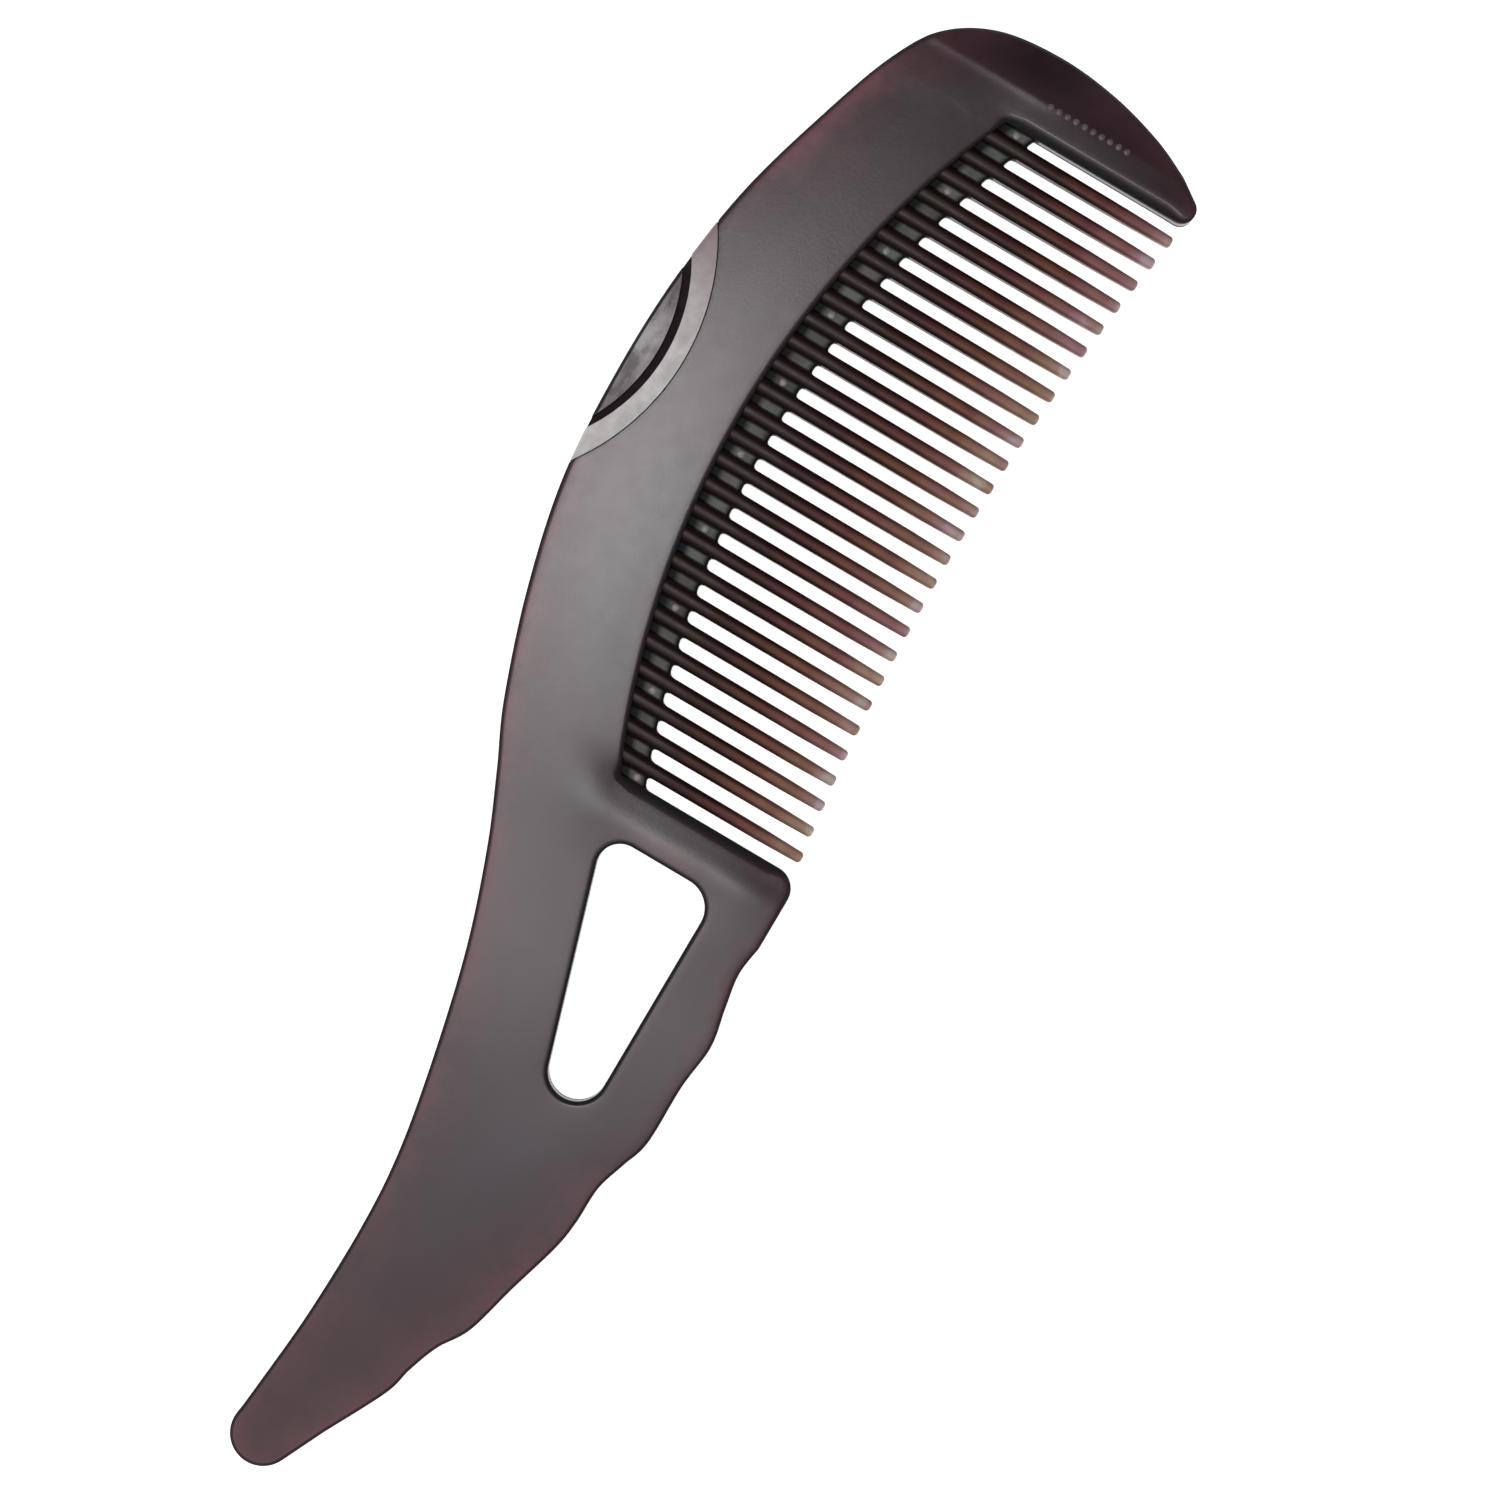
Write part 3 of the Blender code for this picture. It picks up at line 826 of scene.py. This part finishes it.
def tooth_material():
    """Dark at the root, reddish brown along the tooth and pale at its see-through tip, the pale tip
    partly painted light from the floor showing through; painted shade on its flanks and a painted
    highlight down its root bar.
    """
    nodes = Nodes(bpy.data.materials.new("tooth_plastic"))
    wander = nodes.range(nodes.noise(240, 2.0), 0.3, 0.7, -0.08, 0.08)
    colour = nodes.ramp(nodes.total(nodes.attribute("along"), wander), (
        (0.0, (0.04, 0.02, 0.021)),
        (0.2, (0.053, 0.0155, 0.015)),
        (0.42, (0.13, 0.041, 0.032)),
        (0.65, (0.255, 0.1, 0.082)),
        (0.85, (0.41, 0.22, 0.19)),
        (0.95, (0.55, 0.36, 0.34)),
        (1.0, (0.72, 0.63, 0.6)),
    ))
    hue = nodes.range(nodes.noise(150, 1.0), 0.4, 0.6, 0, 1)
    tint = nodes.mix(hue, (0.85, 0.7, 0.84), (0.88, 0.86, 0.7))
    colour = nodes.mix(1.0, colour, tint, "MULTIPLY")
    along, flank = nodes.attribute("along"), nodes.attribute("flank")
    # A painted highlight: a lighter grey stripe down the middle of the root bar.
    near_root = nodes.range(along, 0.0, 0.12, 0.3, 0.0)
    root_bar_highlight = nodes.product(near_root, nodes.range(flank, 0.2, 0.42, 1.0, 0.0))
    colour = nodes.mix(root_bar_highlight, colour, (0.09, 0.075, 0.078))
    # Painted shade: the tooth's flanks darken towards black, less towards the see-through tip.
    flank_shade_reach = nodes.range(along, 0.4, 0.95, 0.98, 0.3)
    edge = nodes.product(nodes.range(flank, 0.35, 0.7, 0.0, 1.0), flank_shade_reach)
    colour = nodes.mix(edge, colour, (0.012, 0.005, 0.004))
    nodes.set(
        Base_Color=colour,
        Roughness=nodes.range(nodes.noise(500, 3.0), 0.3, 0.7, 0.28, 0.38),
        IOR=PLASTIC_IOR,
        Specular_IOR_Level=0.17,
    )
    nodes.bump(nodes.noise(1500, 2.0, 0.5, (1, 0.2, 1)), 0.01 * MM, 0.3)
    return nodes.owner


def rim_material():
    """Light satin, warm white to the handle's side and pinkish to the head's side."""
    nodes = Nodes(bpy.data.materials.new("moon_rim_satin"))
    speckle = nodes.noise(700, 5.0, 0.7)
    clouds = nodes.noise(120, 3.0, 0.6)
    base = nodes.ramp(clouds, ((0.4, (0.72, 0.68, 0.68)), (0.6, (0.94, 0.91, 0.91))))
    to_head = nodes.range(nodes.axis("X"), 44 * MM, 60 * MM, 0.0, 0.9)
    base = nodes.mix(to_head, base, (0.31, 0.19, 0.205))
    to_handle = nodes.range(nodes.axis("X"), 31 * MM, 26 * MM, 0.0, 0.35)
    base = nodes.mix(to_handle, base, (0.45, 0.34, 0.35))
    base = nodes.mix(nodes.range(speckle, 0.4, 0.7, 0, 0.2), base, (0.14, 0.12, 0.125))
    nodes.set(Base_Color=base, Roughness=nodes.range(speckle, 0.3, 0.7, 0.34, 0.5))
    nodes.bump(speckle, 0.01 * MM, 0.4)
    return nodes.owner


def pad_material():
    """Clouded mid grey, palest in its middle, with painted shade that turns its edge nearly black."""
    nodes = Nodes(bpy.data.materials.new("moon_pad_grey"))
    clouds = nodes.noise(260, 5.0, 0.65, (1, 1.8, 1))
    base = nodes.ramp(clouds, (
        (0.35, (0.07, 0.047, 0.057)),
        (0.5, (0.19, 0.15, 0.165)),
        (0.68, (0.36, 0.33, 0.34)),
    ))
    middle = nodes.bell(nodes.axis("X"), 44 * MM, 4 * MM)
    pale = nodes.product(middle, nodes.range(clouds, 0.35, 0.6, 0.3, 1.0))
    base = nodes.mix(pale, base, (0.56, 0.535, 0.54))
    # Painted shade: the pad darkens towards black at its edge.
    edge = nodes.range(nodes.attribute("rim"), 0.0, 0.12, 0.0, 0.95)
    base = nodes.mix(edge, base, PAINTED_SHADE_BLACK)
    nodes.set(Base_Color=base, Roughness=nodes.range(edge, 0.0, 0.95, 0.42, 0.8))
    nodes.bump(nodes.noise(1200, 3.0), 0.012 * MM, 0.4)
    return nodes.owner


def dot_material():
    """A little paler than the head guard around the dots."""
    nodes = Nodes(bpy.data.materials.new("mark_dots"))
    colour = nodes.ramp(nodes.noise(1800), ((0.35, (0.1, 0.065, 0.07)), (0.7, (0.17, 0.12, 0.125))))
    nodes.set(Base_Color=colour, Roughness=0.4)
    return nodes.owner


# ---------------------------------------------------------------- the pieces

BODY_SURFACE, POCKET_SURFACE, PIN_SURFACE, RECESS_SURFACE = range(4)
RECESS_MARGIN = 0.02 * MM
WELL_BEYOND = 3 * HALF_THICKNESS


def make_body(blank):
    cuts = []
    for side in (1, -1):
        low, high = sorted((MID_PLANE + side * MOON_HALF_WEB, MID_PLANE + side * WELL_BEYOND))
        recess = disc_mesh("recess", MOON_RECESS_MIDDLE, MOON_RECESS_RADIUS, low, high)
        cuts.append(("DIFFERENCE", recess))
    mesh = cut_mesh("comb_body_fine", blank.copy(), cuts)
    mesh.materials.clear()
    for surface in (body_material(), pocket_material(), pin_material(), recess_shade_material()):
        mesh.materials.append(surface)
    middle = Vector(MOON_RECESS_MIDDLE)
    for polygon in mesh.polygons:
        in_recess = (polygon.center.xy - middle).length < MOON_RECESS_RADIUS + RECESS_MARGIN
        polygon.material_index = RECESS_SURFACE if in_recess else BODY_SURFACE
    pockets = make_pockets()
    pockets.polygons.foreach_set("material_index", [POCKET_SURFACE] * len(pockets.polygons))
    shape = bmesh.new()
    shape.from_mesh(mesh)
    shape.from_mesh(pockets)
    add_pin_marks(shape)
    shape.to_mesh(mesh)
    shape.free()
    smooth(new_object("comb_body_fine", mesh, "body_plastic", "comb_body"))


TOOTH_SECTION_POINTS = 13
TOOTH_SIDE_SLOPE = math.tan(math.radians(40))
TOOTH_CROWN_POWER = 2.5
TOOTH_THINNEST = 0.1
TOOTH_STRAIGHT_ROWS = 30
TOOTH_END_ROWS = 11
TOOTH_SHOULDER_SHARE = 0.885
TOOTH_TIP_SHARE = 0.74
TOOTH_SHOULDER = 6.0 * MM
TOOTH_TIP_THINNING = 0.5
TOOTH_END_ROUND = 0.6 * MM
TOOTH_END_POWER = 2.6


def tooth_section_share(from_tip, length):
    """A tooth's half width and half thickness as shares of their sizes at the root."""
    if from_tip > TOOTH_SHOULDER:
        part = (from_tip - TOOTH_SHOULDER) / (length - TOOTH_SHOULDER)
        width = TOOTH_SHOULDER_SHARE + (1 - TOOTH_SHOULDER_SHARE) * part
    else:
        width = TOOTH_TIP_SHARE + (TOOTH_SHOULDER_SHARE - TOOTH_TIP_SHARE) * from_tip / TOOTH_SHOULDER
    thickness = 1 - TOOTH_TIP_THINNING * (1 - from_tip / length) ** 2
    if from_tip < TOOTH_END_ROUND:
        blunt = (1 - (1 - from_tip / TOOTH_END_ROUND) ** TOOTH_END_POWER) ** (1 / TOOTH_END_POWER)
        width *= blunt
        thickness *= blunt
    return width, thickness


def make_tooth(node, surface):
    low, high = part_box(node)
    middle_x = (low.x + high.x) / 2
    length = high.y - low.y
    gap_y = web_edge_y(middle_x)
    straight = np.linspace(length, TOOTH_END_ROUND, TOOTH_STRAIGHT_ROWS)
    end = TOOTH_END_ROUND * (1 - np.sin(np.linspace(0, math.pi / 2, TOOTH_END_ROWS)[1:-1]))
    across = np.sin(np.linspace(-math.pi / 2, math.pi / 2, TOOTH_SECTION_POINTS))
    fall = TOOTH_SIDE_SLOPE * np.abs(across) ** TOOTH_CROWN_POWER / TOOTH_CROWN_POWER
    section_size = 2 * TOOTH_SECTION_POINTS
    points, along, flank, rows = [], [], [], []
    for from_tip in [*straight, *end]:
        width, thickness = tooth_section_share(from_tip, length)
        half_width = width * TOOTH_HALF_WIDTH
        y = low.y + from_tip
        rows.append(np.arange(len(points), len(points) + section_size))
        heights = np.maximum(TOOTH_THINNEST, thickness * TOOTH_HALF_THICKNESS / half_width - fall)
        upper = list(zip(across, heights))
        for x, z in [*upper, *((x, -z) for x, z in reversed(upper))]:
            points.append((middle_x + x * half_width, y, MID_PLANE + z * half_width))
            flank.append(abs(x))
        along += [min(1.0, max(0.0, (gap_y - y) / (gap_y - low.y)))] * section_size
    tip = len(points)
    points.append((middle_x, low.y, MID_PLANE))
    along.append(1.0)
    flank.append(0.0)
    faces = [rows[0].tolist()]
    for row, next_row in zip(rows, rows[1:]):
        faces += quads_between(row, next_row).tolist()
    faces += [(a, b, tip) for a, b in zip(rows[-1], np.roll(rows[-1], -1))]
    mesh = mesh_from(f"{node}_fine", points, faces, along=along, flank=flank)
    outward(mesh)
    mesh.materials.append(surface)
    smooth(new_object(f"{node}_fine", mesh, "tooth_plastic", node), TOOTH_SHARP_DEGREES)


def rounded_piece(name, mesh, surface, slot, node):
    mesh.materials.clear()
    mesh.materials.append(surface)
    for polygon in mesh.polygons:
        polygon.material_index = 0
    thing = new_object(name, mesh, slot, node)
    bevel = thing.modifiers.new("soft_edges", "BEVEL")
    bevel.width = MOON_EDGE_ROUND
    bevel.segments = 3
    bevel.limit_method = "ANGLE"
    bevel.angle_limit = math.radians(50)
    smooth(thing)


def make_moon(side, blank, rim_surface, pad_surface):
    face = "front" if side > 0 else "back"
    floor = MID_PLANE + side * (MOON_HALF_WEB + MOON_LINE)
    low, high = sorted((floor, MID_PLANE + side * WELL_BEYOND))
    through = (MID_PLANE - WELL_BEYOND, MID_PLANE + WELL_BEYOND)
    rim_disc = disc_mesh("rim_disc", MOON_RECESS_MIDDLE, MOON_RECESS_RADIUS - MOON_LINE, low, high)
    groove_disc = disc_mesh("groove", MOON_GROOVE_MIDDLE, MOON_GROOVE_RADIUS, *through)
    rim = cut_mesh("rim", blank.copy(), (("INTERSECT", rim_disc), ("DIFFERENCE", groove_disc)))
    rounded_piece(f"moon_rim_{face}_fine", rim, rim_surface, "moon_rim_satin", f"moon_rim_{face}")
    lowered = blank.copy()
    places = np.zeros(3 * len(lowered.vertices))
    lowered.vertices.foreach_get("co", places)
    places[2::3] -= side * MOON_PAD_DROP
    lowered.vertices.foreach_set("co", places)
    pad_disc = disc_mesh("pad_disc", MOON_PAD_MIDDLE, MOON_PAD_RADIUS, low, high)
    pad = cut_mesh("pad", lowered, (("INTERSECT", pad_disc),))
    rounded_piece(f"moon_pad_{face}_fine", pad, pad_surface, "moon_pad_grey", f"moon_pad_{face}")


DOT_COUNT = 10
DOT_RADIUS = 0.42 * MM
DOT_HEIGHT = 0.09 * MM
DOT_X = 93.9 * MM
DOT_FIRST_Y = -3.3 * MM
DOT_LAST_Y = -14.2 * MM


def make_dots(surface):
    """A plain row of low round dots on the head guard, in place of any lettering."""
    shape = bmesh.new()
    for y in np.linspace(DOT_FIRST_Y, DOT_LAST_Y, DOT_COUNT):
        made = bmesh.ops.create_uvsphere(shape, u_segments=20, v_segments=10, radius=DOT_RADIUS)
        fall = HEAD_CREASE_SLOPE * (DOT_X - HEAD_CREASE_X)
        for vert in made["verts"]:
            vert.co.z *= DOT_HEIGHT / DOT_RADIUS
            vert.co += Vector((DOT_X, y, MID_PLANE + HALF_THICKNESS - CROWN / 2 - fall))
    mesh = bpy.data.meshes.new("mark_dots")
    shape.to_mesh(mesh)
    shape.free()
    mesh.materials.append(surface)
    smooth(new_object("mark_dots", mesh, "body_plastic"), DOT_SHARP_DEGREES)


# ---------------------------------------------------------------- floor, light and camera

FLOOR_SIZE = 8.0
FLOOR_GAP = 0.02 * MM
FLOOR_GLOW = 0.85
SPINE_LIGHT_PLACE = (-0.004, 0.1, 0.8)
SPINE_LIGHT_SIZE = (0.281, 0.318)
SPINE_LIGHT_RADIANCE = 2.8
HEAD_LIGHT_PLACE = (0.073, 0.073, 0.79)
HEAD_LIGHT_SIZE = (0.12, 0.12)
HEAD_LIGHT_RADIANCE = 11.5


def make_floor():
    """A plain white light table."""
    shape = bmesh.new()
    bmesh.ops.create_grid(shape, x_segments=2, y_segments=2, size=FLOOR_SIZE / 2)
    bmesh.ops.translate(shape, verts=shape.verts, vec=(0, 0, CAD_LOW.z - FLOOR_GAP))
    mesh = bpy.data.meshes.new("floor")
    shape.to_mesh(mesh)
    shape.free()
    nodes = Nodes(bpy.data.materials.new("pale_floor"))
    nodes.set(Base_Color=(0.9, 0.9, 0.9, 1), Roughness=0.9)
    nodes.set(Emission_Color=(1, 1, 1, 1), Emission_Strength=FLOOR_GLOW)
    mesh.materials.append(nodes.owner)
    floor = bpy.data.objects.new("floor", mesh)
    bpy.context.scene.collection.objects.link(floor)


def softbox(name, place, size, radiance):
    """A rectangular light that faces straight down, whose face has the given brightness."""
    width, height = size
    light = bpy.data.lights.new(name, "AREA")
    light.shape = "RECTANGLE"
    light.size = width
    light.size_y = height
    light.energy = radiance * math.pi * width * height
    thing = bpy.data.objects.new(name, light)
    thing.location = place
    bpy.context.scene.collection.objects.link(thing)


def make_light():
    """A room with pale low walls, dark upper walls and a ceiling that dims to the head's side."""
    world = bpy.data.worlds.new("studio")
    bpy.context.scene.world = world
    nodes = Nodes(world)
    direction = nodes.add("ShaderNodeTexCoord").outputs["Generated"]
    split = nodes.add("ShaderNodeSeparateXYZ", {"Vector": direction})
    walls = nodes.range(split.outputs["Z"], 0.14, 0.2, 1.0, 0.12)
    ceiling = nodes.range(split.outputs["X"], -0.3, 0.2, 1.15, 0.05)
    overhead = nodes.range(split.outputs["Z"], 0.62, 0.82, 0.0, 1.0)
    blend = nodes.add("ShaderNodeMix", data_type="FLOAT")
    nodes.feed(blend, "Factor", overhead)
    nodes.feed(blend, "A", walls)
    nodes.feed(blend, "B", ceiling)
    nodes.feed(nodes.tree.nodes["Background"], "Strength", blend.outputs["Result"])
    nodes.tree.nodes["Background"].inputs["Color"].default_value = (1, 1, 1, 1)
    softbox("spine_softbox", SPINE_LIGHT_PLACE, SPINE_LIGHT_SIZE, SPINE_LIGHT_RADIANCE)
    softbox("head_softbox", HEAD_LIGHT_PLACE, HEAD_LIGHT_SIZE, HEAD_LIGHT_RADIANCE)


FRAME_WIDTH = 184.5 * MM
VIEW_MIDDLE = (6.99 * MM, -11.7 * MM)
CAMERA_TURN = math.radians(-59.4)
LENS_MM = 85
SENSOR_MM = 36


def make_camera():
    """Straight above the comb, turned so that the head points up and to the right."""
    data = bpy.data.cameras.new("camera")
    data.lens = LENS_MM
    data.sensor_width = SENSOR_MM
    data.clip_start = 0.01
    camera = bpy.data.objects.new("camera", data)
    distance = FRAME_WIDTH * LENS_MM / SENSOR_MM
    camera.location = (*VIEW_MIDDLE, CAD_HIGH.z + distance)
    camera.rotation_euler = (0, 0, CAMERA_TURN)
    bpy.context.scene.collection.objects.link(camera)
    bpy.context.scene.camera = camera


def main():
    bpy.context.scene.view_settings.view_transform = "Standard"
    make_camera()
    make_light()
    make_floor()
    blank = make_blank()
    make_body(blank)
    tooth_surface = tooth_material()
    for node in TOOTH_NAMES:
        make_tooth(node, tooth_surface)
    rim_surface, pad_surface = rim_material(), pad_material()
    for side in (1, -1):
        make_moon(side, blank, rim_surface, pad_surface)
    make_dots(dot_material())
    bpy.data.meshes.remove(blank)


main()
